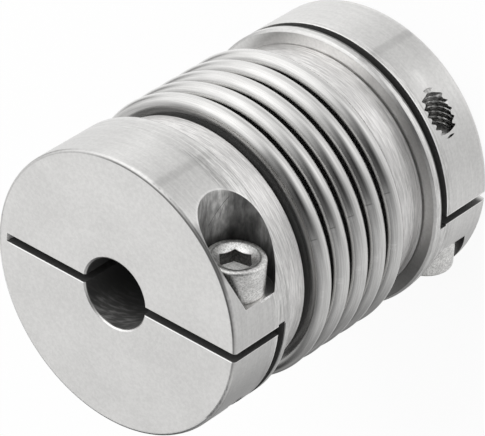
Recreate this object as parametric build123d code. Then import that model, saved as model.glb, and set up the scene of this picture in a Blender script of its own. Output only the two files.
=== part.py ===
from build123d import *
import math
import os

# Bellows coupling with two clamping hubs, in millimetres. It stands on the end face of its lower hub.
# +Z runs along the shaft axis, +X points to both clamp screws, and +Y to the head of the upper hub's screw.
# The upper hub is the lower one turned half a turn about the X axis.

# ---- Hubs ----
hub_diameter = 50.0
bore_diameter = 12.5
face_rounding = 0.6       # on the outer edge of each end face
bore_chamfer = 0.3        # at the mouth of the bore
slot_width = 1.5          # saw cut through the bore, open beside the screw
hinge_web = 1.9           # metal left behind the blind end of that cut
cross_slot_width = 1.5    # saw cut that frees the threaded jaw from the flange
cross_slot_overrun = 0.4  # how far that cut bites into the other jaw
flange_thickness = 1.7
flange_chamfer = 0.4      # on the flange's edge beside the bellows
collar_wall = 4.0
collar_length = 6.5
collar_chamfer = 0.25

# ---- Bellows ----
convolutions = 5
crest_overhang = 0.15     # how far the crests stand proud of the hubs
wave_height = 6.65        # from root to crest, both outside
wave_pitch = 4.7          # from crest to crest
crest_bend = 1.8          # outside radius of a crest
bellows_wall = 0.3
bare_cuff = 0.4           # plain tube in sight between a collar and the first root

# ---- Clamp screws, M6 socket head ----
thread_diameter = 6.0
head_diameter = 10.0
head_height = 6.0
head_rounding = 0.6
socket_across_flats = 5.0
socket_depth = 3.0
socket_mouth_diameter = 7.7
socket_mouth_depth = 0.9  # of the countersink, down to the hexagon's flats
socket_turn = 12.0        # degrees from +X to a corner of the hexagon
tip_chamfer = 0.8

# ---- Screw seats ----
pocket_clearance = 1.4    # round the head, in the counterbore
pocket_face_wall = 0.45   # from the counterbore to the end face
pocket_back_wall = 0.75   # from the counterbore to the back of the flange
screw_edge_distance = 6.5 # from the screw's axis to the hub's outer diameter, along X
clamp_thickness = 6.4     # metal between the head's seat and the slot
hole_clearance = 0.3      # round the shank, in the jaw under the head
thread_clearance = 0.05   # round the thread, in the tapped jaw
thread_engagement = 12.1  # thread below the slot
cut_margin = 1.0          # how far each cut runs past the hub

# ---- Sizes that follow ----
hub_radius = hub_diameter / 2
bore_radius = bore_diameter / 2
crest_radius = hub_radius + crest_overhang
cuff_radius = crest_radius - wave_height
spigot_radius = cuff_radius - bellows_wall
collar_radius = cuff_radius + collar_wall

root_bend = wave_pitch / 2 - crest_bend
bellows_gap = convolutions * wave_pitch + 2 * bare_cuff

head_radius = head_diameter / 2
pocket_radius = head_radius + pocket_clearance
thread_radius = thread_diameter / 2
screw_x = hub_radius - screw_edge_distance
screw_z = pocket_face_wall + pocket_radius
seat_height = slot_width / 2 + clamp_thickness
screw_length = clamp_thickness + slot_width + thread_engagement

flange_back = screw_z + pocket_radius + pocket_back_wall
flange_front = flange_back - flange_thickness
hub_length = flange_back + collar_length
overall_length = 2 * hub_length + bellows_gap


def turned(outline):
    """A solid of revolution about Z from (radius, height) points."""
    return revolve(Plane.XZ * make_face(Polyline(*outline, close=True)), Axis.Z)


def drilled(radius, y_from, y_to):
    """A cylinder along Y on the lower screw's axis."""
    middle = Pos(screw_x, (y_from + y_to) / 2, screw_z)
    return middle * Rot(X=90) * Cylinder(radius, y_to - y_from)


def sawn(x_from, x_to, y_from, y_to, z_from, z_to):
    """The block of metal that a saw takes out between these planes."""
    middle = Pos((x_from + x_to) / 2, (y_from + y_to) / 2, (z_from + z_to) / 2)
    return middle * Box(x_to - x_from, y_to - y_from, z_to - z_from)


def lower_hub():
    """The lower hub: the screw's head sits on its -Y side and the tapped jaw is on its +Y side."""
    blank = turned([
        (bore_radius + bore_chamfer, 0),
        (hub_radius, 0),
        (hub_radius, flange_back - flange_chamfer),
        (hub_radius - flange_chamfer, flange_back),
        (spigot_radius, flange_back),
        (spigot_radius, hub_length),
        (bore_radius, hub_length),
        (bore_radius, bore_chamfer),
    ])
    face_edges = blank.edges().filter_by(GeomType.CIRCLE).group_by(Axis.Z)[0]
    blank = fillet(face_edges.sort_by(SortBy.RADIUS)[-1], face_rounding)
    past = hub_radius + cut_margin
    half_slot = slot_width / 2
    slot = sawn(hinge_web - hub_radius, past, -half_slot, half_slot, -cut_margin, flange_front)
    cross_start = -half_slot - cross_slot_overrun
    cross = sawn(-past, past, cross_start, past, flange_front - cross_slot_width, flange_front)
    pocket = drilled(pocket_radius, -past, -seat_height)
    clearance_hole = drilled(thread_radius + hole_clearance, -past, 0)
    tapped_hole = drilled(thread_radius, 0, past)
    return blank - slot - cross - pocket - clearance_hole - tapped_hole


def clamp_screw():
    """A socket head cap screw on Z, with the underside of its head at the origin and its tip below."""
    shank_radius = thread_radius - thread_clearance
    body = turned([
        (0, -screw_length),
        (shank_radius - tip_chamfer, -screw_length),
        (shank_radius, tip_chamfer - screw_length),
        (shank_radius, 0),
        (head_radius, 0),
        (head_radius, head_height),
        (0, head_height),
    ])
    rim = body.edges().filter_by(GeomType.CIRCLE).group_by(Axis.Z)[-1]
    body = fillet(rim, head_rounding)
    mouth = turned([
        (0, head_height - socket_mouth_depth),
        (socket_across_flats / 2, head_height - socket_mouth_depth),
        (socket_mouth_diameter / 2, head_height),
        (0, head_height),
    ])
    hexagon = RegularPolygon(socket_across_flats / 2, 6, major_radius=False)
    socket = Pos(0, 0, head_height) * Rot(Z=socket_turn) * extrude(hexagon, -socket_depth)
    return body - mouth - socket


def collar():
    """The ring that holds the bellows' lower cuff on the hub's spigot."""
    return turned([
        (cuff_radius, flange_back),
        (collar_radius - collar_chamfer, flange_back),
        (collar_radius, flange_back + collar_chamfer),
        (collar_radius, hub_length - collar_chamfer),
        (collar_radius - collar_chamfer, hub_length),
        (cuff_radius, hub_length),
    ])


def wave_line(inset):
    """The bellows' meridian from its lower end to its upper end, moved into the wall by inset."""
    crest = crest_bend - inset
    root = root_bend + inset
    crest_centre = crest_radius - crest_bend
    root_centre = cuff_radius + root_bend
    cuff = cuff_radius - inset
    first_crest = hub_length + bare_cuff + wave_pitch / 2
    half = math.sqrt(0.5)
    lines = [Line((cuff, flange_back), (cuff, hub_length + bare_cuff))]
    for index in range(convolutions):
        middle = first_crest + index * wave_pitch
        below = middle - wave_pitch / 2
        above = middle + wave_pitch / 2
        lines += [
            ThreePointArc(
                (cuff, below),
                (root_centre - root * half, below + root * half),
                (root_centre, below + root),
            ),
            Line((root_centre, below + root), (crest_centre, middle - crest)),
            ThreePointArc(
                (crest_centre, middle - crest),
                (crest_centre + crest, middle),
                (crest_centre, middle + crest),
            ),
            Line((crest_centre, middle + crest), (root_centre, above - root)),
            ThreePointArc(
                (root_centre, above - root),
                (root_centre - root * half, above - root * half),
                (cuff, above),
            ),
        ]
    upper_hub_end = hub_length + bellows_gap
    lines += [Line((cuff, upper_hub_end - bare_cuff), (cuff, overall_length - flange_back))]
    return lines


def bellows():
    """The thin convoluted tube, with a plain cuff at each end."""
    outside = wave_line(0)
    inside = wave_line(bellows_wall)
    lower_end = Line(inside[0] @ 0, outside[0] @ 0)
    upper_end = Line(outside[-1] @ 1, inside[-1] @ 1)
    section = make_face(Curve() + [*outside, upper_end, *inside, lower_end])
    return revolve(Plane.XZ * section, Axis.Z)


to_top = Pos(0, 0, overall_length) * Rot(X=180)
in_lower_hub = Pos(screw_x, -seat_height, screw_z) * Rot(X=90)

hub = lower_hub()
ring = collar()
screw = clamp_screw()

nodes = {
    "lower_hub": hub,
    "upper_hub": to_top * hub,
    "lower_collar": ring,
    "upper_collar": to_top * ring,
    "bellows": bellows(),
    "lower_clamp_screw": in_lower_hub * screw,
    "upper_clamp_screw": to_top * in_lower_hub * screw,
}

os.makedirs("parts", exist_ok=True)
for name, solid in nodes.items():
    solid.label = name
    export_step(solid, f"parts/{name}.step")
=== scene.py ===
import math

import bmesh
import bpy
from bpy.props import (
    FloatProperty,
    FloatVectorProperty,
    IntProperty,
    PointerProperty,
)
from bpy.types import Operator, Panel, PropertyGroup
from mathutils import Matrix, Vector


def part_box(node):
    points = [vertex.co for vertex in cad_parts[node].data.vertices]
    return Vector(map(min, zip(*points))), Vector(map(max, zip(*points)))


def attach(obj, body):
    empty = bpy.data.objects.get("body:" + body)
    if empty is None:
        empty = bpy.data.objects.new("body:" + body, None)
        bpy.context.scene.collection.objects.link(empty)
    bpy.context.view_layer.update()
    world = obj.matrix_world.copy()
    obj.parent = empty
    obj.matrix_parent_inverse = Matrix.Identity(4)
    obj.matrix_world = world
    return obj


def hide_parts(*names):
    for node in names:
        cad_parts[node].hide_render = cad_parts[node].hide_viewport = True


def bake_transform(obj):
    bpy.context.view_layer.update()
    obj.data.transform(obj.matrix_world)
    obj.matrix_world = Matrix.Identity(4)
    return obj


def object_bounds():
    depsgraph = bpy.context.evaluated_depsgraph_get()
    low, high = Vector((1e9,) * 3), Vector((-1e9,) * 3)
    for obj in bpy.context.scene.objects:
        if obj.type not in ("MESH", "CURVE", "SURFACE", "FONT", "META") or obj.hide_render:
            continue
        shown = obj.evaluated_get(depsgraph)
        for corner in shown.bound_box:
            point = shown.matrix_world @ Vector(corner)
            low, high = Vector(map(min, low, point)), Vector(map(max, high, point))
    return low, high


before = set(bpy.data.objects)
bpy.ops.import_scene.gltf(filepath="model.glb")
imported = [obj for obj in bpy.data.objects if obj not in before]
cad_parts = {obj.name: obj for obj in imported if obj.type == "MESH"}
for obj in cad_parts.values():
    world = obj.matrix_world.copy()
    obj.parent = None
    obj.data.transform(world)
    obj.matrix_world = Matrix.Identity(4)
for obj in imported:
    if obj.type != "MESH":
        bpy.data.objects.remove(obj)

bl_info = {
    "name": "Bellows coupling",
    "version": (1, 0, 0),
    "blender": (4, 5, 0),
    "location": "View3D > Sidebar > Coupling",
    "description": "Dresses a bellows coupling with clamping hubs: finishes, threads, bellows and studio",
    "category": "Object",
}

CAD_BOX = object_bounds()
MM = 0.001
TURN = 2 * math.pi

LENGTH = CAD_BOX[1].z - CAD_BOX[0].z
HUB_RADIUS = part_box("lower_hub")[1].x
HUB_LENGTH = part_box("lower_hub")[1].z
CREST_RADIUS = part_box("bellows")[1].x
CUFF_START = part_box("bellows")[0].z

SCREW_LOW, SCREW_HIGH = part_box("lower_clamp_screw")
SCREW_X = (SCREW_LOW.x + SCREW_HIGH.x) / 2
SCREW_Z = (SCREW_LOW.z + SCREW_HIGH.z) / 2
HEAD_RADIUS = (SCREW_HIGH.x - SCREW_LOW.x) / 2
TOP = -SCREW_LOW.y
MOUTH_RADIUS = 3.85 * MM

# Sizes of the hubs that the finishes follow.
SLOT_WIDTH = 1.5 * MM
BORE_RADIUS = 6.25 * MM
POCKET_RADIUS = HEAD_RADIUS + 1.4 * MM
SEAT = 7.15 * MM
FLANGE_FRONT = 12.3 * MM
FLANGE_BACK = 14.0 * MM
HINGE_WEB = 1.9 * MM
FACE_ROUNDING = 0.6 * MM

# How finely things are made. The flats of a metric thread are shares of its pitch.
ROOT_STEPS = 10
CREST_STEPS = 14
ROOT_FLAT = 1 / 4
CREST_FLAT = 1 / 8
SHARP_ANGLE = math.radians(35)


# ---------------------------------------------------------------- what a user may change


class CouplingBellows(PropertyGroup):
    convolutions: IntProperty(
        name="Convolutions", description="Number of waves between the collars", default=5, min=1
    )
    wave_height: FloatProperty(
        name="Wave height", description="From root to crest, both outside",
        default=6.65 * MM, unit="LENGTH",
    )
    crest_bend: FloatProperty(
        name="Crest bend", description="Outside radius of a crest", default=1.8 * MM, unit="LENGTH"
    )
    pitch: FloatProperty(
        name="Pitch", description="From crest to crest", default=4.7 * MM, unit="LENGTH"
    )
    wall: FloatProperty(
        name="Wall", description="Thickness of the tube", default=0.3 * MM, unit="LENGTH"
    )
    bare_cuff: FloatProperty(
        name="Bare cuff", description="Plain tube in sight beside a collar",
        default=0.4 * MM, unit="LENGTH",
    )
    segments: IntProperty(name="Segments", description="Facets round the tube", default=288, min=24)


class CouplingScrews(PropertyGroup):
    pitch: FloatProperty(name="Pitch", description="Of the thread", default=1.0 * MM, unit="LENGTH")
    head_height: FloatProperty(
        name="Head height", description="From seat to top", default=6.0 * MM, unit="LENGTH"
    )
    head_rounding: FloatProperty(
        name="Head rounding", description="On the head's upper rim", default=0.6 * MM, unit="LENGTH"
    )
    across_flats: FloatProperty(
        name="Across flats", description="Of the hexagon socket", default=5.0 * MM, unit="LENGTH"
    )
    socket_depth: FloatProperty(
        name="Socket depth", description="Down to its floor", default=3.0 * MM, unit="LENGTH"
    )
    mouth_radius: FloatProperty(
        name="Mouth radius", description="Of the countersink", default=MOUTH_RADIUS, unit="LENGTH"
    )
    mouth_depth: FloatProperty(
        name="Mouth depth", description="Of the countersink, down to the flats",
        default=0.9 * MM, unit="LENGTH",
    )
    socket_turn: FloatProperty(
        name="Socket turn", description="Angle from +X to a corner of the hexagon",
        default=math.radians(12), unit="ROTATION",
    )
    major_radius: FloatProperty(
        name="Major radius", description="Of the screw's thread", default=2.95 * MM, unit="LENGTH"
    )
    minor_radius: FloatProperty(
        name="Minor radius", description="Of the screw's thread", default=2.39 * MM, unit="LENGTH"
    )
    thread_gap: FloatProperty(
        name="Thread gap", description="Between screw and tapped hole", default=0.04 * MM, unit="LENGTH"
    )


class CouplingFinish(PropertyGroup):
    hub_colour: FloatVectorProperty(
        name="Hubs", description="Turned steel", default=(0.66, 0.655, 0.645), subtype="COLOR"
    )
    collar_colour: FloatVectorProperty(
        name="Collars", description="Brushed steel", default=(0.80, 0.79, 0.78), subtype="COLOR"
    )
    bellows_colour: FloatVectorProperty(
        name="Bellows", description="Formed sheet steel", default=(0.66, 0.655, 0.645), subtype="COLOR"
    )
    screw_colour: FloatVectorProperty(
        name="Screws", description="Cold headed steel", default=(0.78, 0.775, 0.76), subtype="COLOR"
    )


class CouplingStage(PropertyGroup):
    azimuth: FloatProperty(
        name="Azimuth", description="Of the camera, from +X towards +Y",
        default=math.radians(47.96), unit="ROTATION",
    )
    elevation: FloatProperty(
        name="Elevation", description="Of the camera above the floor",
        default=math.radians(41.21), unit="ROTATION",
    )
    roll: FloatProperty(
        name="Roll", description="Of the camera about its line of sight",
        default=math.radians(-121.95), unit="ROTATION",
    )
    distance: FloatProperty(
        name="Distance", description="From the camera to the point it aims at", default=0.674,
        unit="LENGTH",
    )
    aim: FloatVectorProperty(
        name="Aim", description="The point in the middle of the picture",
        default=(10.8 * MM, 11.3 * MM, 47.4 * MM), subtype="TRANSLATION",
    )
    lens: FloatProperty(name="Lens", description="Focal length in millimetres", default=314.5)
    sky: FloatProperty(name="Sky", description="World light on matt surfaces", default=0.8)


# ---------------------------------------------------------------- shader maths


class Value:
    """An output socket of a node. Arithmetic on it adds Math nodes."""

    def __init__(self, graph, socket):
        self.graph = graph
        self.socket = socket

    def _math(self, operation, first, second):
        return self.graph.node("ShaderNodeMath", {"operation": operation}, {0: first, 1: second})

    def __add__(self, other):
        return self._math("ADD", self, other)

    def __radd__(self, other):
        return self._math("ADD", other, self)

    def __sub__(self, other):
        return self._math("SUBTRACT", self, other)

    def __rsub__(self, other):
        return self._math("SUBTRACT", other, self)

    def __mul__(self, other):
        return self._math("MULTIPLY", self, other)

    def __rmul__(self, other):
        return self._math("MULTIPLY", other, self)

    def __truediv__(self, other):
        return self._math("DIVIDE", self, other)

    def __rtruediv__(self, other):
        return self._math("DIVIDE", other, self)

    def __pow__(self, other):
        return self._math("POWER", self, other)

    def larger(self, other):
        return self._math("MAXIMUM", self, other)

    def size(self):
        return self._math("ABSOLUTE", self, 0.0)

    def exp(self):
        return self._math("EXPONENT", self, 0.0)

    def angle(self, across):
        """The angle of the point (across, self) in radians."""
        return self._math("ARCTAN2", self, across)

    def from_nearest_whole(self):
        return self - self._math("ROUND", self, 0.0)


class Graph:
    """The nodes of one material or world."""

    def __init__(self, owner):
        owner.use_nodes = True
        self.tree = owner.node_tree
        self.tree.nodes.clear()

    def node(self, kind, settings=None, sockets=None, output=0):
        """Any node: its settings are set first, then its sockets, and one output is returned."""
        made = self.tree.nodes.new(kind)
        for name, value in (settings or {}).items():
            setattr(made, name, value)
        for name, value in (sockets or {}).items():
            if isinstance(value, Value):
                self.tree.links.new(value.socket, made.inputs[name])
            else:
                made.inputs[name].default_value = value
        return Value(self, made.outputs[output]) if made.outputs else made

    def parts(self, vector):
        """The three numbers of a vector."""
        split = self.tree.nodes.new("ShaderNodeSeparateXYZ")
        self.tree.links.new(vector.socket, split.inputs[0])
        return [Value(self, out) for out in split.outputs]

    def vector(self, x, y, z):
        return self.node("ShaderNodeCombineXYZ", None, {0: x, 1: y, 2: z})

    def noise(self, vector, scale=1.0, detail=2.0, rough=0.5, w=None):
        """Noise from 0 to 1, with a fourth coordinate if w is given."""
        sockets = {"Vector": vector, "Scale": scale, "Detail": detail, "Roughness": rough}
        if w is not None:
            sockets["W"] = w
        settings = {"noise_dimensions": "3D" if w is None else "4D"}
        return self.node("ShaderNodeTexNoise", settings, sockets)

    def step(self, value, low, high, bottom=0.0, top=1.0):
        """A smooth step from bottom at low to top at high."""
        return self.node(
            "ShaderNodeMapRange",
            {"interpolation_type": "SMOOTHSTEP"},
            {"Value": value, "From Min": low, "From Max": high, "To Min": bottom, "To Max": top},
        )

    def spread(self, noise, bottom=0.0, top=1.0):
        """Noise, most of which lies from 0.3 to 0.7, spread smoothly from bottom to top."""
        return self.step(noise, 0.3, 0.7, bottom, top)

    def band(self, value, centre, half_width, soft):
        """1 within half_width of centre, fading to 0 over soft."""
        return self.step((value - centre).size(), half_width, half_width + soft, 1.0, 0.0)

    def tint(self, colour, amount):
        """A colour times a number."""
        grey = self.vector(amount, amount, amount)
        return self.node("ShaderNodeVectorMath", {"operation": "MULTIPLY"}, {0: colour, 1: grey})


# ---------------------------------------------------------------- finishes


def round_the_axis(graph):
    """The height, the distance from the shaft axis, and the direction from it as a unit vector."""
    place = graph.node("ShaderNodeTexCoord", None, None, output=3)
    x, y, z = graph.parts(place)
    radius = (x * x + y * y) ** 0.5
    return place, z, radius, x / radius, y / radius


def turning_marks(graph, per_metre, along, detail=3.0):
    """Fine rings round the shaft axis, on faces and outsides alike. along sets how short they are."""
    place, z, radius, cosine, sine = round_the_axis(graph)
    direction = graph.vector(cosine * along, sine * along, z * per_metre)
    return graph.noise(direction, detail=detail, rough=0.6, w=radius * per_metre)


def finish_steel(
    graph, colour, roughness, height, strength, anisotropic=0.0, edge=0.12 * MM, square=None, metal=1.0
):
    """The metal itself, with the given bump and rounded edges, apart from where square is 1."""
    rounded = graph.node("ShaderNodeBevel", {"samples": 6}, {"Radius": edge})
    if square is not None:
        plain = graph.node("ShaderNodeNewGeometry", None, None, output=1)
        rounded = graph.node(
            "ShaderNodeMix",
            {"data_type": "VECTOR"},
            {"Factor": square, 4: rounded, 5: plain},
            output=1,
        )
    bump = graph.node(
        "ShaderNodeBump",
        None,
        {"Strength": strength, "Distance": 0.02 * MM, "Height": height, "Normal": rounded},
    )
    shader = graph.node(
        "ShaderNodeBsdfPrincipled",
        None,
        {
            "Base Color": colour,
            "Metallic": metal,
            "Roughness": roughness,
            "Anisotropic": anisotropic,
            "Normal": bump,
        },
    )
    graph.node("ShaderNodeOutputMaterial", None, {"Surface": shader})


def material(name):
    made = bpy.data.materials.new(name)
    return made, Graph(made)


class HubPlace:
    """Where a shaded point lies on its hub, the same way for both hubs."""

    def __init__(self, graph):
        self.place = graph.node("ShaderNodeTexCoord", None, None, output=3)
        self.x, y, z = graph.parts(self.place)
        upper = graph.step(z, LENGTH / 2 - MM, LENGTH / 2 + MM)
        self.radius = (self.x * self.x + y * y) ** 0.5
        self.side = y * (upper * 2 - 1)
        self.depth = z * (1 - upper) + (LENGTH - z) * upper
        self.y, self.z = y, z
        self.across = self.x - SCREW_X
        self.along = self.depth - SCREW_Z
        self.from_screw = (self.across * self.across + self.along * self.along) ** 0.5


def saw_cuts(graph, hub):
    """1 on the walls of both saw cuts, apart from the end of the long one."""
    hair = 0.02 * MM
    half = SLOT_WIDTH / 2 + hair / 2
    slot = graph.band(hub.side, 0.0, half, hair)
    slot = slot * graph.step(hub.depth, FLANGE_FRONT - hair, FLANGE_FRONT, 1.0, 0.0)
    slot = slot * graph.step(hub.x, HINGE_WEB - HUB_RADIUS + hair, HINGE_WEB - HUB_RADIUS + 2 * hair)
    cross = graph.band(hub.depth, FLANGE_FRONT - SLOT_WIDTH / 2, half, hair)
    on_lower = graph.step(hub.z, HUB_LENGTH, HUB_LENGTH + MM, 0.26 * MM, 0.0)
    burr = graph.step(hub.y, 6 * MM, 12 * MM) * on_lower
    cross = cross * graph.step(hub.radius + burr, HUB_RADIUS - 3 * hair, HUB_RADIUS - hair, 1.0, 0.0)
    cross = cross * graph.step(hub.side, 1.2 * MM, 1.3 * MM, 1.0, 0.0)
    return slot.larger(cross) * graph.step(hub.z, 0.0, 1.8 * MM)


def saw_lip_highlights(graph, hub):
    """1 on the painted highlights on the burrs beside the long saw cut, wider on the face, and on the jaw's
    edge.
    """
    on_face = graph.step(hub.depth, 0.02 * MM, 0.06 * MM, 1.0, 0.0)
    in_cut = graph.step(hub.depth, FLANGE_FRONT - 0.3 * MM, FLANGE_FRONT - 0.1 * MM, 1.0, 0.0)
    in_cut = in_cut * graph.step(hub.x, HINGE_WEB - HUB_RADIUS, HINGE_WEB - HUB_RADIUS + MM)
    edge = SLOT_WIDTH / 2
    wide = graph.band(hub.side, -edge - 0.12 * MM, 0.12 * MM, 0.06 * MM) * on_face
    outside = graph.step(hub.radius, HUB_RADIUS - 0.1 * MM, HUB_RADIUS - 0.03 * MM)
    thin = graph.band(hub.side.size(), edge + 0.1 * MM, 0.07 * MM, 0.05 * MM) * outside
    jaw = graph.band(hub.depth, FLANGE_FRONT - SLOT_WIDTH - 0.1 * MM, 0.07 * MM, 0.05 * MM) * outside
    jaw = jaw * graph.step(hub.side, -2.0 * MM, -1.0 * MM, 1.0, 0.0)
    return (wide.larger(thin * 0.5) * in_cut).larger(jaw * 0.6)


def torn_groove_shade(graph, hub, angle, far):
    """1 on the painted shade along the torn edge of the cross cut, wider high up on the lower hub."""
    torn = graph.noise(hub.place, scale=900.0, detail=3.0, rough=0.7)
    high = graph.step(angle, 0.7, 0.95) * graph.step(angle, 1.7, 2.0, 1.0, 0.0) * far
    ragged = (torn - 0.5) * 0.5 * MM * (high * 0.8 + 0.2)
    width = 0.2 * MM + (1 - far) * 0.1 * MM + high * 0.14 * MM + ragged
    near = graph.step(hub.depth - width, FLANGE_FRONT - 0.04 * MM, FLANGE_FRONT + 0.04 * MM, 1.0, 0.0)
    in_flange = graph.step(hub.depth, FLANGE_FRONT - SLOT_WIDTH / 2, FLANGE_FRONT - 0.05 * MM)
    return near * in_flange * graph.step(hub.side, 0.6 * MM, 0.8 * MM, 1.0, 0.0)


def pocket_walls(graph, hub):
    """1 on the round wall of the counterbore."""
    near = graph.step(hub.from_screw, POCKET_RADIUS + 0.03 * MM, POCKET_RADIUS + 0.08 * MM, 1.0, 0.0)
    return near * graph.step(hub.side, SEAT + 0.05 * MM, SEAT + 0.15 * MM)


def scratch(graph, angle, height, start, low, turn, rise, bow, width):
    """A thin dark line on a round wall, from start to start + turn, that climbs by rise and bows."""
    share = (angle - start) / turn
    line = low + share * rise + share * (1 - share) * bow
    inside = graph.band(share, 0.5, 0.45, 0.05)
    return inside * graph.band(height, line, width / 2, width)


def pocket_shade(graph, hub):
    """The counterbore's brushed walls: painted reflections by angle, painted shade darker towards the seat,
    and two scratches.
    """
    angle = hub.along.angle(hub.across)
    streaks = graph.noise(graph.vector(angle * 9.0, hub.side * 350.0, 0.0), detail=4.0, rough=0.6)
    blotches = graph.noise(hub.place, scale=380.0, detail=3.0)
    # Painted light and shade by angle: lighter near angle 0, a sheen, a dark corner and a bright wall.
    rim = graph.step(angle, 0.0, 0.45, 0.2, 0.0)
    sheen = graph.band(angle, 1.3, 0.2, 0.3) * 0.14
    dark_corner = graph.band(angle, 2.12, 0.17, 0.35) * 0.16
    bright_wall = graph.band(angle, 2.9, 0.15, 0.45) * 0.45
    tone = 0.38 + rim + sheen - dark_corner + bright_wall
    # Painted shade, darker towards the seat.
    tone = tone * graph.step(hub.side, 10.0 * MM, 19.0 * MM, 0.3, 1.1)
    tone = tone * graph.spread(streaks, 0.65, 1.35) * graph.spread(blotches, 0.75, 1.25)
    long = scratch(graph, angle, hub.side, 2.49, 20.2 * MM, 0.55, -4.9 * MM, 0.4 * MM, 0.1 * MM)
    short = scratch(graph, angle, hub.side, 2.60, 18.9 * MM, 0.15, -3.0 * MM, 0.2 * MM, 0.1 * MM)
    return tone * (1 - long * 0.6) * (1 - short * 0.6)


def pocket_rim_highlights(graph, hub, on_outside):
    """1 on the polished rim of the counterbore, where the highlight is painted, and on the torn burr where
    the seat tore out of the hub's side, painted bright as a glint.
    """
    rim = graph.band(hub.from_screw, POCKET_RADIUS + 0.12 * MM, 0.12 * MM, 0.15 * MM)
    rim = rim * on_outside * graph.step(hub.side, SEAT, SEAT + 3 * MM)
    rim = rim * graph.step(-1 * hub.across, -2 * MM, 4 * MM)
    torn = graph.noise(hub.place, scale=2500.0, detail=3.0, rough=0.7)
    tear = graph.step(torn, 0.46, 0.52) * graph.band(hub.side, SEAT - 0.1 * MM, 0.2 * MM, 0.1 * MM)
    tear = tear * graph.band(hub.along, 1.6 * MM, 1.2 * MM, 0.6 * MM)
    tear = tear * graph.step(hub.across, 4.5 * MM, 5.2 * MM)
    return (rim * 0.14).larger(tear * 0.5)


def bore_shade(graph, hub):
    """The bore's wall in painted shade, lighter low down and near the face, with slanting reamer marks."""
    x, y, _ = graph.parts(hub.place)
    angle = y.angle(x)
    slant = graph.vector(angle * 3.0 + hub.depth * 220.0, hub.depth * 1400.0 - angle * 6.0, 0.0)
    marks = graph.noise(slant, detail=4.0)
    low = graph.step(hub.side, -6.2 * MM, -2.5 * MM, 1.0, 0.1)
    low = low * graph.step(hub.depth, 2.0 * MM, 7.0 * MM, 1.0, 0.15)
    return 0.12 + (0.15 + graph.step(marks, 0.4, 0.8) * 0.6) * low


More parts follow.
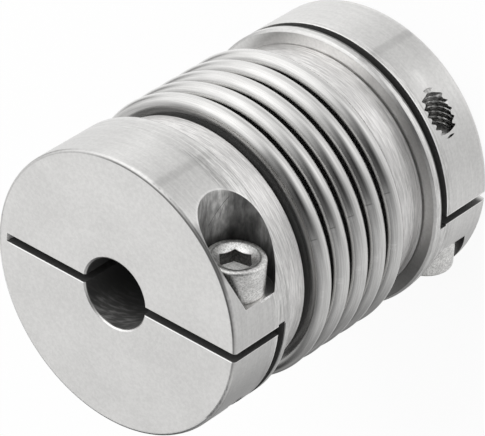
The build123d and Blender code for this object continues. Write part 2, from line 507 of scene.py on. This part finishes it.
def hub_material(finish):
    """Turned steel. Its bands, streaks and smears are painted tone that stays fixed to the hub; much of it
    is painted shade, painted highlights and painted reflections, and the rest is the steel's own marks,
    grain and wear.
    """
    made, graph = material("turned_steel")
    hub = HubPlace(graph)
    marks = turning_marks(graph, 7000.0, 1.5)
    brushed = turning_marks(graph, 7500.0, 10.0, detail=4.0)
    broad = turning_marks(graph, 1300.0, 1.2)
    cloud = graph.noise(hub.place, scale=90.0)
    grain = graph.noise(hub.place, scale=1800.0, detail=3.0, rough=0.6)
    on_outside = graph.step(hub.radius, HUB_RADIUS - 0.2 * MM, HUB_RADIUS - 0.05 * MM)
    flange = graph.step(hub.depth, 8.8 * MM, 10.2 * MM)
    angle = hub.y.angle(hub.x)
    brushing = on_outside * (flange * graph.step(angle, 1.2, 1.6, 0.85, 0.25) + 0.15)
    shade = graph.spread(marks, 0.985, 1.015) * graph.spread(cloud, 0.98, 1.02)
    shade = shade * graph.spread(grain, 0.95, 1.05)
    shade = shade * (1 + (graph.spread(brushed) + graph.spread(broad) - 1) * brushing * 0.5)
    far = graph.step(hub.z, HUB_LENGTH, HUB_LENGTH + MM, 1.0, 0.0)
    # Painted shade and highlight on the outside near angle 0: darker on the upper hub, lighter on the lower
    # hub.
    shade = shade * (1 + graph.step(angle, 0.0, 0.45, 1.0, 0.0) * on_outside * (far * 0.17 - 0.08))
    # Painted shade on the outside round 2 rad, weaker on the flange and on the lower hub.
    shaded_left_side = graph.band(angle, 2.0, 0.15, 0.25) * on_outside * (1 - flange * 0.5)
    shade = shade * (1 - shaded_left_side * (0.14 - far * 0.08))
    # Painted highlight on the outside just beyond the dark streak, to about 1.5 rad.
    lit_beyond_streak = graph.step(angle, math.radians(74), math.radians(77)) * graph.step(angle, 1.35, 1.55, 1.0, 0.0)
    shade = shade * (1 + lit_beyond_streak * on_outside * 0.05)
    # Painted reflection: a thin dark streak along the outside at 74 degrees.
    reflected_dark_streak = graph.band(angle, math.radians(74), math.radians(0.7), math.radians(2.0))
    shade = shade * (1 - reflected_dark_streak * on_outside * 0.12)
    smear = graph.band(angle, math.radians(56), math.radians(2), math.radians(4)) * on_outside
    smear = smear * graph.band(hub.z, 6.6 * MM, 0.3 * MM, 1.2 * MM)
    shade = shade * (1 + smear * 0.12)
    # Painted shade and a painted highlight on the rim: a dark line beside the face and a bright line beside
    # the outside, only on the side that the main camera sees.
    in_sight = graph.step(hub.x, -8 * MM, 0.0) * graph.step(hub.y, 0.0, 6 * MM)
    rim = graph.step(hub.radius, HUB_RADIUS - FACE_ROUNDING, HUB_RADIUS - 0.85 * FACE_ROUNDING)
    rim_painted_shade = rim * graph.step(hub.depth, 0.05 * FACE_ROUNDING, 0.3 * FACE_ROUNDING, 1.0, 0.0)
    shade = shade * (1 - rim_painted_shade * in_sight * 0.5)
    rim_painted_highlight = graph.band(hub.depth, FACE_ROUNDING, 0.2 * MM, 0.2 * MM) * on_outside
    shade = shade * (1 + rim_painted_highlight * in_sight * 0.06)
    # Painted highlight on the face's rounding, on the side below the axis.
    below = graph.step(hub.y, -6 * MM, 0.0, 1.0, 0.0)
    shade = shade * (1 + graph.step(hub.depth, 0.05 * MM, 0.5 * MM, 1.0, 0.0) * below * rim * 0.6)
    # Painted highlights on the burrs beside the saw cut, on the counterbore's rim and on the burr where the
    # seat tore out.
    lip_highlights = saw_lip_highlights(graph, hub)
    shade = shade * (1 + lip_highlights * 0.55 + pocket_rim_highlights(graph, hub, on_outside))
    # Painted shade on the ring at the back of the flange, darker towards -Y, with a painted highlight on it
    # between about 1.2 and 2 rad.
    ring = graph.step(hub.depth, FLANGE_BACK - 0.03 * MM, FLANGE_BACK - 0.01 * MM)
    ring = ring * graph.step(hub.depth, FLANGE_BACK + 0.01 * MM, FLANGE_BACK + 0.03 * MM, 1.0, 0.0)
    shade = shade * (1 - ring * graph.step(hub.y, -12 * MM, 2 * MM, 0.6, 0.0))
    shade = shade * (1 + ring * graph.step(angle, 1.15, 1.35) * graph.step(angle, 1.7, 2.05, 0.3, -0.05))
    # Painted shade along the cross cut's torn edge.
    shade = shade * (1 - torn_groove_shade(graph, hub, angle, far) * on_outside * 0.7)
    # Painted shade: a dark sliver on the outside near the face of the upper hub.
    shaded_sliver = graph.band(angle, 0.74, 0.14, 0.1) * graph.step(hub.depth, 1.1 * MM, 1.6 * MM, 1.0, 0.0)
    shade = shade * (1 - shaded_sliver * on_outside * (1 - far) * 0.5)
    # The counterbore's walls take their painted shade and painted reflections.
    pocket = pocket_walls(graph, hub)
    shade = shade * (1 - pocket) + pocket_shade(graph, hub) * pocket
    # Painted shade on the walls of the saw cuts.
    cuts = saw_cuts(graph, hub)
    shade = shade * (1 - cuts * 0.8)
    # Painted light on the end wall of the long cut, which is also made matt.
    lit_web_end = graph.band(hub.x, HINGE_WEB - HUB_RADIUS, 0.03 * MM, 0.02 * MM)
    lit_web_end = lit_web_end * graph.band(hub.side, 0.0, SLOT_WIDTH / 2, 0.01 * MM)
    shade = shade * (1 - lit_web_end) + lit_web_end * 1.2
    # Painted shade in the bore.
    bore = graph.step(hub.radius, BORE_RADIUS + 0.02 * MM, BORE_RADIUS + 0.08 * MM, 1.0, 0.0)
    shade = shade * (1 - bore) + bore_shade(graph, hub) * bore
    # A painted highlight on the bore's chamfer, on its lower side.
    mouth = graph.band(hub.radius, BORE_RADIUS + 0.2 * MM, 0.1 * MM, 0.06 * MM)
    mouth = mouth * graph.step(hub.y, -2 * MM, 0.0, 1.0, 0.0)
    shade = shade * (1 + mouth * 0.3)
    colour = graph.tint(tuple(finish.hub_colour), shade)
    roughness = graph.spread(cloud, 0.28, 0.33) + pocket * 0.15 + cuts * 0.2 + ring * below * 0.25
    height = marks + brushed * brushing * 2.0
    tapped = graph.step(hub.from_screw, 3.6 * MM, 3.8 * MM, 1.0, 0.0)
    tapped = tapped * graph.step(hub.side, 0.0, MM, 1.0, 0.0)
    square = tapped.larger(graph.band(hub.side, 0.0, SLOT_WIDTH / 2 + 0.25 * MM, 0.05 * MM))
    metal = 1 - (pocket * 0.5).larger(cuts * 0.4).larger(bore * 0.5).larger(lit_web_end)
    finish_steel(graph, colour, roughness, height, 0.15, edge=0.2 * MM, square=square, metal=metal)
    return made


def thread_material(finish):
    made, graph = material("tapped_thread_steel")
    place = graph.node("ShaderNodeTexCoord", None, None, output=3)
    grain = graph.noise(place, scale=1500.0, detail=3.0)
    colour = graph.tint(tuple(finish.hub_colour), graph.spread(grain, 0.35, 0.85))
    finish_steel(graph, colour, 0.22, grain, 0.3, edge=0.06 * MM)
    return made


def collar_material(finish):
    """Brushed steel, partly matt at both ends, with painted shade at the joint and in one band round the
    axis.
    """
    made, graph = material("brushed_collar_steel")
    hub = HubPlace(graph)
    depth = hub.depth
    angle = hub.y.angle(hub.x)
    foot = graph.step(depth, FLANGE_BACK + 0.5 * MM, FLANGE_BACK + 2.6 * MM, 1.0, 0.0)
    foot = foot * graph.step(angle, 1.35, 1.65, 1.0, 0.0)
    # Painted shade along the joint with the flange, wider below 1.3 rad.
    shaded_joint = graph.step(angle, 1.3, 1.6, 0.5 * MM, 0.25 * MM)
    shaded_joint = graph.step((depth - FLANGE_BACK) / shaded_joint, 0.5, 1.0, 1.0, 0.0)
    end = graph.step(depth, HUB_LENGTH - 2.0 * MM, HUB_LENGTH - 0.4 * MM)
    fine = turning_marks(graph, 9000.0, 9.0)
    broad = turning_marks(graph, 2200.0, 1.0)
    shade = graph.step(fine, 0.35, 0.65, 0.76, 1.18) * graph.spread(broad, 0.92, 1.08)
    # Painted shade at the joint and in a band round 0.5 rad.
    shade = shade * (1 - shaded_joint * 0.5) * (1 - graph.band(angle, 0.5, 0.12, 0.25) * 0.14)
    colour = graph.tint(tuple(finish.collar_colour), shade)
    roughness = graph.spread(broad, 0.30, 0.42)
    metal = 1 - foot.larger(end) * 0.45
    finish_steel(graph, colour, roughness, fine + broad, 0.9, anisotropic=0.4, metal=metal)
    return made


def bellows_material(finish, bellows):
    """Formed steel. Flanks, crests and roots have painted shade, painted highlights and painted
    reflections, and ticks stand for a weld seam.
    """
    made, graph = material("formed_bellows_steel")
    place, z, radius, cosine, sine = round_the_axis(graph)
    cloud = graph.noise(place, scale=220.0, detail=4.0)
    streaks = turning_marks(graph, 6500.0, 4.5, detail=4.0)
    shade = graph.spread(cloud, 0.97, 1.03) * graph.step(streaks, 0.35, 0.65, 0.9, 1.08)
    wave = ((z - LENGTH / 2) / bellows.pitch).from_nearest_whole()
    outer = graph.step(radius, CREST_RADIUS - 2.4 * MM, CREST_RADIUS - 0.9 * MM)
    # Painted shade on one flank of each wave, and darker still in the roots.
    shaded_flank = graph.step(wave, 0.27, 0.36, 1.0, 0.85) * graph.step(
        radius, CREST_RADIUS - 2.05 * MM, CREST_RADIUS - 1.25 * MM, 0.3, 1.0
    )
    # Painted highlight on the other side of each crest, near its top.
    lit_crest_back = graph.step(wave, -0.27, -0.1, 1.0, 0.0)
    lit_crest_back = lit_crest_back * graph.step(radius, CREST_RADIUS - 1.2 * MM, CREST_RADIUS - 0.6 * MM)
    shade = shade * shaded_flank * (1 + lit_crest_back * 0.5)
    seam = math.radians(25.5)
    past_seam = radius * (sine * math.cos(seam) - cosine * math.sin(seam))
    front = graph.band(wave, 0.27, 0.03, 0.1) * outer * graph.step(cosine, 0.2, 0.3)
    weld = graph.band(past_seam, 0.0, 0.04 * MM, 0.1 * MM) * 0.35
    # A painted dark reflection beside the weld on the front of the waves.
    dark_reflection = graph.step(past_seam, -0.3 * MM, 2.5 * MM) * graph.step(past_seam, 6 * MM, 14 * MM, 1.0, 0.0)
    shade = shade * (1 - weld.larger(dark_reflection * 0.33) * front)
    shade = shade * (1 + graph.band(past_seam, -0.5 * MM, 0.2 * MM, 0.3 * MM) * front * 0.08)
    # Painted shade, streaky, on the wave next to the upper hub at about 57 degrees.
    first_wave_shade = graph.band(sine, 0.84, 0.03, 0.05) * graph.step(cosine, 0.2, 0.3) * outer
    first_wave_shade = first_wave_shade * graph.step(z - LENGTH / 2, 2.1 * bellows.pitch, 2.25 * bellows.pitch)
    shade = shade * (1 - first_wave_shade * graph.step(streaks, 0.3, 0.6, 0.2, 0.4))
    nicks = graph.noise(graph.vector(sine * 900.0, z * 250.0, cosine), detail=3.0)
    nicked = graph.band(sine, 0.05, 0.02, 0.02) * graph.step(nicks, 0.52, 0.62) * front
    shade = shade * (1 + nicked * 0.3)
    colour = graph.tint(tuple(finish.bellows_colour), shade)
    roughness = graph.spread(streaks, 0.17, 0.23)
    root = graph.step(radius, CREST_RADIUS - 3.0 * MM, CREST_RADIUS - 1.5 * MM, 0.35, 0.0)
    metal = 1 - root.larger(lit_crest_back * 0.5)
    finish_steel(graph, colour, roughness, streaks, 0.12, edge=0.02 * MM, metal=metal)
    return made


def screw_material(finish):
    made, graph = material("cold_headed_steel")
    hub = HubPlace(graph)
    grain = graph.noise(hub.place, scale=3000.0, detail=4.0, rough=0.75)
    cloud = graph.noise(hub.place, scale=400.0)
    shade = graph.spread(grain, 0.6, 1.28) * graph.spread(cloud, 0.88, 1.1)
    # Painted shade on the head's top, and a painted highlight in the countersink, brighter towards +Y.
    on_top = graph.step(hub.side, TOP - 0.06 * MM, TOP - 0.02 * MM)
    sunk = graph.step(hub.from_screw, MOUTH_RADIUS - 0.1 * MM, MOUTH_RADIUS, 1.0, 0.0)
    shade = shade * (1 - on_top * 0.14) * (1 + sunk * graph.step(hub.y, -4 * MM, 4 * MM, 0.0, 0.15))
    # Painted shade: a dark line on the top round the countersink.
    mouth = graph.band(hub.from_screw, MOUTH_RADIUS + 0.1 * MM, 0.06 * MM, 0.1 * MM)
    shade = shade * (1 - mouth * on_top * 0.4)
    colour = graph.tint(tuple(finish.screw_colour), shade)
    roughness = graph.spread(grain, 0.28, 0.45)
    finish_steel(graph, colour, roughness, grain, 0.8, edge=0.08 * MM)
    return made


def socket_material(finish):
    made, graph = material("shaded_socket_walls")
    place = graph.node("ShaderNodeTexCoord", None, None, output=3)
    grain = graph.noise(place, scale=2500.0, detail=3.0, rough=0.7)
    # Painted shade: the socket's walls are painted nearly black.
    colour = graph.tint(tuple(finish.screw_colour), graph.spread(grain, 0.07, 0.2))
    finish_steel(graph, colour, 0.5, grain, 0.5, edge=0.05 * MM)
    return made


def socket_floor_material(finish):
    made, graph = material("lit_broached_socket_floor")
    place = graph.node("ShaderNodeTexCoord", None, None, output=3)
    grain = graph.noise(place, scale=3000.0, detail=3.0, rough=0.7)
    # Painted light: the broached floor is painted up to half again as bright as the screw.
    colour = graph.tint(tuple(finish.screw_colour), graph.spread(grain, 0.95, 1.5))
    finish_steel(graph, colour, 0.7, grain, 0.5, edge=0.05 * MM, metal=0.3)
    return made


def dress(node, made):
    """Gives a CAD node its material."""
    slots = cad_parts[node].data.materials
    slots.clear()
    slots.append(made)


# ---------------------------------------------------------------- meshes


def ring_mesh(name, rings, closed):
    """A mesh from rings of equally many points. A closed one is a tube, else its ends are capped."""
    mesh = bpy.data.meshes.new(name)
    count = len(rings[0])
    points = [point for ring in rings for point in ring]
    faces = []
    for low in range(len(rings) if closed else len(rings) - 1):
        high = (low + 1) % len(rings)
        for left in range(count):
            right = (left + 1) % count
            faces.append((low * count + left, low * count + right,
                          high * count + right, high * count + left))
    if not closed:
        faces.append(tuple(reversed(range(count))))
        faces.append(tuple(range((len(rings) - 1) * count, len(rings) * count)))
    mesh.from_pydata(points, [], faces)
    mesh.update()
    made = bmesh.new()
    made.from_mesh(mesh)
    bmesh.ops.recalc_face_normals(made, faces=made.faces)
    made.to_mesh(mesh)
    made.free()
    mesh.shade_smooth()
    mesh.set_sharp_from_angle(angle=SHARP_ANGLE)
    piece = bpy.data.objects.new(name, mesh)
    bpy.context.scene.collection.objects.link(piece)
    return piece


def lathe(name, outline, segments):
    """A ring-shaped solid turned from a closed outline of (radius, height) points."""
    angles = [TURN * k / segments for k in range(segments)]
    rings = [[(r * math.cos(a), r * math.sin(a), z) for a in angles] for r, z in outline]
    return ring_mesh(name, rings, closed=True)


def arc(centre, radius, start, end, steps):
    """Points on an arc of the (radius, height) plane, from one angle to the other in degrees."""
    points = []
    for k in range(steps + 1):
        angle = math.radians(start + (end - start) * k / steps)
        points.append((centre[0] + radius * math.cos(angle), centre[1] + radius * math.sin(angle)))
    return points


# ---------------------------------------------------------------- bellows


def wave_points(bellows, inset):
    """Half of the bellows' meridian, from its lower end to the crest in the middle of its length."""
    crest = bellows.crest_bend - inset
    root_bend = bellows.pitch / 2 - bellows.crest_bend
    root = root_bend + inset
    cuff = CREST_RADIUS - bellows.wave_height
    crest_at = CREST_RADIUS - bellows.crest_bend
    root_at = cuff + root_bend
    pitch = bellows.pitch
    middle = LENGTH / 2
    lowest_root = middle - bellows.convolutions * pitch / 2
    points = [(cuff - inset, CUFF_START), (cuff - inset, lowest_root - bellows.bare_cuff / 2)]
    halves = bellows.convolutions
    for index in range(halves):
        low = lowest_root + index * pitch / 2
        high = low + pitch / 2
        if index % 2 == 0:
            points += arc((root_at, low), root, 180, 90, ROOT_STEPS)
            points += arc((crest_at, high), crest, -90, 0, CREST_STEPS)
        else:
            points += arc((crest_at, low), crest, 0, 90, CREST_STEPS)[1:]
            points += arc((root_at, high), root, -90, -180, ROOT_STEPS)
    return points


def bellows_half(bellows, name, lower):
    """One half of the bellows, up to the middle of its central crest."""
    hair = 0.004 * MM
    outside = wave_points(bellows, 0.0)
    inside = wave_points(bellows, bellows.wall)
    for line in (outside, inside):
        end = line[-1]
        line.insert(-1, (end[0], end[1] - hair))
    outline = outside + inside[::-1]
    if not lower:
        outline = [(r, LENGTH - z) for r, z in outline]
    return lathe(name, outline, bellows.segments)


# ---------------------------------------------------------------- screws and tapped holes


def thread_wave(bite):
    """1 on a thread's crest and 0 in its root, with the flats of a metric thread."""
    share = bite % 1.0
    rise = abs(share - 0.5) * 2
    return min(1.0, max(0.0, (rise - ROOT_FLAT) / (1 - ROOT_FLAT - CREST_FLAT)))


def in_hub(upper):
    """Takes the screw's own axes, with +Z out of its head, to the lower or the upper hub."""
    seat = Matrix.Translation((SCREW_X, 0, SCREW_Z)) @ Matrix.Rotation(math.radians(90), 4, "X")
    if upper:
        return Matrix.Translation((0, 0, LENGTH)) @ Matrix.Rotation(math.pi, 4, "X") @ seat
    return seat


def screw_rings(screws, segments=144, rings_per_turn=14):
    """The screw's surface as rings, from the tip to the floor of the hexagon socket."""
    tip = -SCREW_HIGH.y
    seat = TOP - screws.head_height
    angles = [TURN * k / segments + screws.socket_turn for k in range(segments)]
    depth = screws.major_radius - screws.minor_radius

    def ring(radii, heights):
        return [(r * math.cos(a), r * math.sin(a), z) for a, r, z in zip(angles, radii, heights)]

    def plain(radius, height):
        return ring([radius] * segments, [height] * segments)

    rings = [plain(screws.minor_radius - 0.3 * MM, tip)]
    steps = round((seat - tip) / screws.pitch * rings_per_turn)
    for k in range(1, steps + 1):
        height = tip + (seat - tip) * k / steps
        cap = screws.minor_radius - 0.25 * MM + (height - tip)
        radii = []
        for a in angles:
            wave = thread_wave(height / screws.pitch - a / TURN)
            radii.append(min(screws.minor_radius + depth * wave, cap))
        rings.append(ring(radii, [height] * segments))
    rim = HEAD_RADIUS - screws.head_rounding
    under = 0.15 * MM
    rings += [plain(HEAD_RADIUS - under, seat), plain(HEAD_RADIUS, seat + under)]
    rounding = arc((rim, TOP - screws.head_rounding), screws.head_rounding, 0, 90, 10)
    rings += [plain(radius, height) for radius, height in rounding]
    rings.append(plain(screws.mouth_radius, TOP))
    flat = screws.across_flats / 2
    slope = screws.mouth_depth / (screws.mouth_radius - flat)
    hexagon = []
    mouth = []
    for a in angles:
        from_corner = (a - screws.socket_turn) % (TURN / 6)
        radius = flat / math.cos(from_corner - TURN / 12)
        hexagon.append(radius)
        mouth.append(TOP - (screws.mouth_radius - radius) * slope)
    floor = TOP - screws.socket_depth
    rings += [ring(hexagon, mouth), ring(hexagon, [floor] * segments)]
    rings.append(plain(0.3 * MM, floor - 0.25 * MM))
    return rings


def tapped_sleeve(screws, slot_width, segments=96, rings_per_turn=16):
    """A sleeve with the internal thread, from the saw cut to past the hub's outside."""
    outer = screws.major_radius + screws.thread_gap + 0.005 * MM
    angles = [TURN * k / segments for k in range(segments)]
    depth = screws.major_radius - screws.minor_radius
    start = -slot_width / 2
    end = -HUB_RADIUS
    steps = round((start - end) / screws.pitch * rings_per_turn)
    inside = []
    outside = []
    for k in range(steps + 1):
        height = start + (end - start) * k / steps
        inner_ring = []
        for a in angles:
            wave = thread_wave(height / screws.pitch - a / TURN)
            radius = screws.minor_radius + depth * wave + screws.thread_gap
            inner_ring.append((radius * math.cos(a), radius * math.sin(a), height))
        inside.append(inner_ring)
        if k in (0, steps):
            outside.append([(outer * math.cos(a), outer * math.sin(a), height) for a in angles])
    return inside + outside[::-1]


def kept_inside_hub(piece):
    """Trims a piece of the lower hub flush with the hub's outside."""
    outline = [(0.5 * MM, 0), (HUB_RADIUS, 0), (HUB_RADIUS, HUB_LENGTH), (0.5 * MM, HUB_LENGTH)]
    cutter = lathe("cutter", outline, 720)
    trim = piece.modifiers.new("trim", "BOOLEAN")
    trim.operation = "INTERSECT"
    trim.solver = "EXACT"
    trim.object = cutter
    bpy.context.view_layer.update()
    whole = piece.evaluated_get(bpy.context.evaluated_depsgraph_get())
    trimmed = bpy.data.meshes.new_from_object(whole)
    piece.modifiers.clear()
    piece.data = trimmed
    bpy.data.objects.remove(cutter)
    trimmed.shade_smooth()
    trimmed.set_sharp_from_angle(angle=SHARP_ANGLE)


# ---------------------------------------------------------------- operators


class COUPLING_OT_hubs(Operator):
    """Give both clamping hubs their turned steel"""

    bl_idname = "coupling.hubs"
    bl_label = "Finish hubs"

    def execute(self, context):
        made = hub_material(context.scene.coupling_finish)
        for node in ("lower_hub", "upper_hub"):
            dress(node, made)
        return {"FINISHED"}


class COUPLING_OT_collars(Operator):
    """Give both collars their brushed steel"""

    bl_idname = "coupling.collars"
    bl_label = "Finish collars"

    def execute(self, context):
        made = collar_material(context.scene.coupling_finish)
        for node in ("lower_collar", "upper_collar"):
            dress(node, made)
        return {"FINISHED"}


class COUPLING_OT_bellows(Operator):
    """Make the bellows in two halves"""

    bl_idname = "coupling.bellows"
    bl_label = "Make bellows"

    def execute(self, context):
        bellows = context.scene.coupling_bellows
        made = bellows_material(context.scene.coupling_finish, bellows)
        lower = bellows_half(bellows, "bellows_lower_half", True)
        upper = bellows_half(bellows, "bellows_upper_half", False)
        for piece in (lower, upper):
            piece.data.materials.append(made)
        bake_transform(lower)
        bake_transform(upper)
        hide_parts("bellows")
        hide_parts("bellows")
        return {"FINISHED"}


class COUPLING_OT_screws(Operator):
    """Make both clamp screws with their threads and sockets"""

    bl_idname = "coupling.screws"
    bl_label = "Make screws"

    def execute(self, context):
        screws = context.scene.coupling_screws
        made = screw_material(context.scene.coupling_finish)
        walls_made = socket_material(context.scene.coupling_finish)
        floor_made = socket_floor_material(context.scene.coupling_finish)
        floor = TOP - screws.socket_depth
        walls = screws.across_flats / 2 / math.cos(TURN / 12)
        for half in ("lower", "upper"):
            piece = ring_mesh(f"{half}_threaded_screw", screw_rings(screws), closed=False)
            for one in (made, walls_made, floor_made):
                piece.data.materials.append(one)
            for face in piece.data.polygons:
                centre = face.center
                in_socket = centre.z > floor - MM and math.hypot(centre.x, centre.y) < walls
                upright = abs(face.normal.z) < 0.3
                if in_socket and upright:
                    face.material_index = 1
                elif in_socket and centre.z < floor + 0.01 * MM:
                    face.material_index = 2
            piece.data.transform(in_hub(half == "upper"))
            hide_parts(f"{half}_clamp_screw")
            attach(piece, f"{half}_half")
        return {"FINISHED"}


class COUPLING_OT_tapped_holes(Operator):
    """Cut the threads of both tapped jaws"""

    bl_idname = "coupling.tapped_holes"
    bl_label = "Tap holes"

    def execute(self, context):
        screws = context.scene.coupling_screws
        finish = context.scene.coupling_finish
        lower = ring_mesh("lower_tapped_thread", tapped_sleeve(screws, SLOT_WIDTH), closed=True)
        lower.data.transform(in_hub(False))
        kept_inside_hub(lower)
        lower.data.materials.clear()
        lower.data.materials.append(thread_material(finish))
        lower.data.materials.append(bpy.data.materials["turned_steel"])
        for face in lower.data.polygons:
            on_outside = math.hypot(face.center.x, face.center.y) > HUB_RADIUS - 0.01 * MM
            face.material_index = 1 if on_outside else 0
        upper = bpy.data.objects.new("upper_tapped_thread", lower.data.copy())
        bpy.context.scene.collection.objects.link(upper)
        upper.data.transform(in_hub(True) @ in_hub(False).inverted())
        for half, piece in (("lower", lower), ("upper", upper)):
            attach(piece, f"{half}_half")
        return {"FINISHED"}


class COUPLING_OT_stage(Operator):
    """Set up the floor, the lamps, the sky and the camera"""

    bl_idname = "coupling.stage"
    bl_label = "Set stage"

    def execute(self, context):
        stage = context.scene.coupling_stage
        set_camera(stage)
        set_floor()
        set_sky(stage)
        set_key_lamp()
        context.scene.view_settings.view_transform = "Standard"
        return {"FINISHED"}


def set_camera(stage):
    back = Vector((
        math.cos(stage.azimuth) * math.cos(stage.elevation),
        math.sin(stage.azimuth) * math.cos(stage.elevation),
        math.sin(stage.elevation),
    ))
    level_right = Vector((-math.sin(stage.azimuth), math.cos(stage.azimuth), 0))
    level_up = back.cross(level_right)
    right = level_right * math.cos(stage.roll) + level_up * math.sin(stage.roll)
    up = back.cross(right)
    eye = Vector(stage.aim) + back * stage.distance
    data = bpy.data.cameras.new("camera")
    data.lens = stage.lens
    data.sensor_width = 36.0
    data.clip_end = 10.0
    camera = bpy.data.objects.new("camera", data)
    camera.matrix_world = Matrix((right, up, back)).transposed().to_4x4()
    camera.location = eye
    bpy.context.scene.collection.objects.link(camera)
    bpy.context.scene.camera = camera


def seen_ray(graph):
    """1 where the camera, a reflection or a transmission looks, 0 where light is gathered."""
    paths = graph.tree.nodes.new("ShaderNodeLightPath").outputs
    camera, glossy, through = (
        Value(graph, paths[name])
        for name in ("Is Camera Ray", "Is Glossy Ray", "Is Transmission Ray")
    )
    return camera.larger(glossy).larger(through)


def set_floor():
    reach = 3.0
    white_share = 0.9
    corners = [(x * reach, y * reach, 0) for x, y in ((-1, -1), (1, -1), (1, 1), (-1, 1))]
    mesh = bpy.data.meshes.new("floor")
    mesh.from_pydata(corners, [], [(0, 1, 2, 3)])
    floor = bpy.data.objects.new("floor", mesh)
    bpy.context.scene.collection.objects.link(floor)
    made, graph = material("floor")
    matt = graph.node("ShaderNodeBsdfDiffuse", None, {"Color": (0.95, 0.95, 0.95, 1.0)})
    white = graph.node("ShaderNodeEmission", None, {"Color": (1.0, 1.0, 1.0, 1.0)})
    seen = seen_ray(graph) * white_share
    mixed = graph.node("ShaderNodeMixShader", None, {0: seen, 1: matt, 2: white})
    graph.node("ShaderNodeOutputMaterial", None, {"Surface": mixed})
    mesh.materials.append(made)
    floor.visible_glossy = False


def direction(azimuth, elevation):
    """A unit vector from its azimuth and elevation in degrees."""
    a, e = math.radians(azimuth), math.radians(elevation)
    return Vector((math.cos(a) * math.cos(e), math.sin(a) * math.cos(e), math.sin(e)))


# What the metal reflects. These numbers were found by a least-squares fit and pasted in. They
# aren't the plan of a real studio. Each row is a soft lobe round one direction: azimuth and
# elevation of its middle, the width at which it has fallen to about 0.6, all in degrees, and its
# level, which is below 0 where it takes light away from the fill.
STUDIO_FILL = 1.58
STUDIO = (
    (41.6, 10.2, 18.6, 2.19),
    (43.3, 12.5, 23.2, -3.0),
    (119.3, 61.3, 42.0, 2.58),
    (177.3, -10.3, 10.3, -0.83),
    (-96.6, -6.9, 16.6, 2.37),
    (-99.3, -7.4, 20.7, -3.0),
    (-134.0, 43.0, 11.0, 1.03),
    (50.5, -26.2, 14.1, 0.65),
    (-13.2, -33.7, 70.0, -0.7),
    (100.6, -47.0, 16.7, -0.43),
    (160.6, 74.8, 45.2, -3.0),
    (55.6, 67.8, 20.2, -0.58),
)


def studio_light(graph):
    """The level of the studio in the direction of a reflected ray, never quite black."""
    ray = graph.node("ShaderNodeTexCoord")
    dot = {"operation": "DOT_PRODUCT"}
    darkest = 0.02
    level = STUDIO_FILL
    for azimuth, elevation, width, strength in STUDIO:
        middle = tuple(direction(azimuth, elevation))
        along = graph.node("ShaderNodeVectorMath", dot, {0: ray, 1: middle}, output=1)
        level = ((along - 1) * math.radians(width) ** -2).exp() * strength + level
    return level.larger(darkest)


def set_sky(stage):
    world = bpy.data.worlds.new("sky")
    bpy.context.scene.world = world
    graph = Graph(world)
    paths = graph.tree.nodes.new("ShaderNodeLightPath").outputs
    camera = Value(graph, paths["Is Camera Ray"])
    glossy = Value(graph, paths["Is Glossy Ray"])
    level = camera + glossy * studio_light(graph) + (1 - camera.larger(glossy)) * stage.sky
    sky = graph.node("ShaderNodeBackground", None, {"Color": (1.0, 1.0, 1.0, 1.0), "Strength": level})
    graph.node("ShaderNodeOutputWorld", None, {"Surface": sky})


def set_key_lamp():
    """A soft lamp that lays the part's faint shadow on the floor."""
    size, distance, radiance = 0.4, 0.6, 2.5
    towards = direction(115, 45)
    data = bpy.data.lights.new("key_lamp", "AREA")
    data.size = size
    data.energy = radiance * math.pi * size * size
    lamp = bpy.data.objects.new("key_lamp", data)
    lamp.location = Vector((0, 0, LENGTH / 2)) + towards * distance
    lamp.rotation_euler = towards.to_track_quat("Z", "Y").to_euler()
    lamp.visible_glossy = False
    bpy.context.scene.collection.objects.link(lamp)


# ---------------------------------------------------------------- panel and start


OPERATORS = (
    COUPLING_OT_hubs,
    COUPLING_OT_collars,
    COUPLING_OT_bellows,
    COUPLING_OT_screws,
    COUPLING_OT_tapped_holes,
    COUPLING_OT_stage,
)
GROUPS = {
    "coupling_bellows": CouplingBellows,
    "coupling_screws": CouplingScrews,
    "coupling_finish": CouplingFinish,
    "coupling_stage": CouplingStage,
}


class COUPLING_PT_panel(Panel):
    """Sizes, colours and steps of the bellows coupling"""

    bl_label = "Bellows coupling"
    bl_idname = "COUPLING_PT_panel"
    bl_space_type = "VIEW_3D"
    bl_region_type = "UI"
    bl_category = "Coupling"

    def draw(self, context):
        for name, group in GROUPS.items():
            box = self.layout.box()
            for value in group.__annotations__:
                box.prop(getattr(context.scene, name), value)
        for operator in OPERATORS:
            self.layout.operator(operator.bl_idname)


def register():
    for group in GROUPS.values():
        bpy.utils.register_class(group)
    for name, group in GROUPS.items():
        setattr(bpy.types.Scene, name, PointerProperty(type=group))
    for operator in OPERATORS:
        bpy.utils.register_class(operator)
    bpy.utils.register_class(COUPLING_PT_panel)


def unregister():
    bpy.utils.unregister_class(COUPLING_PT_panel)
    for operator in reversed(OPERATORS):
        bpy.utils.unregister_class(operator)
    for name, group in reversed(GROUPS.items()):
        delattr(bpy.types.Scene, name)
        bpy.utils.unregister_class(group)


def main():
    register()
    for operator in OPERATORS:
        step = operator.bl_idname.split(".")[1]
        getattr(bpy.ops.coupling, step)()


if __name__ == "__main__":
    main()
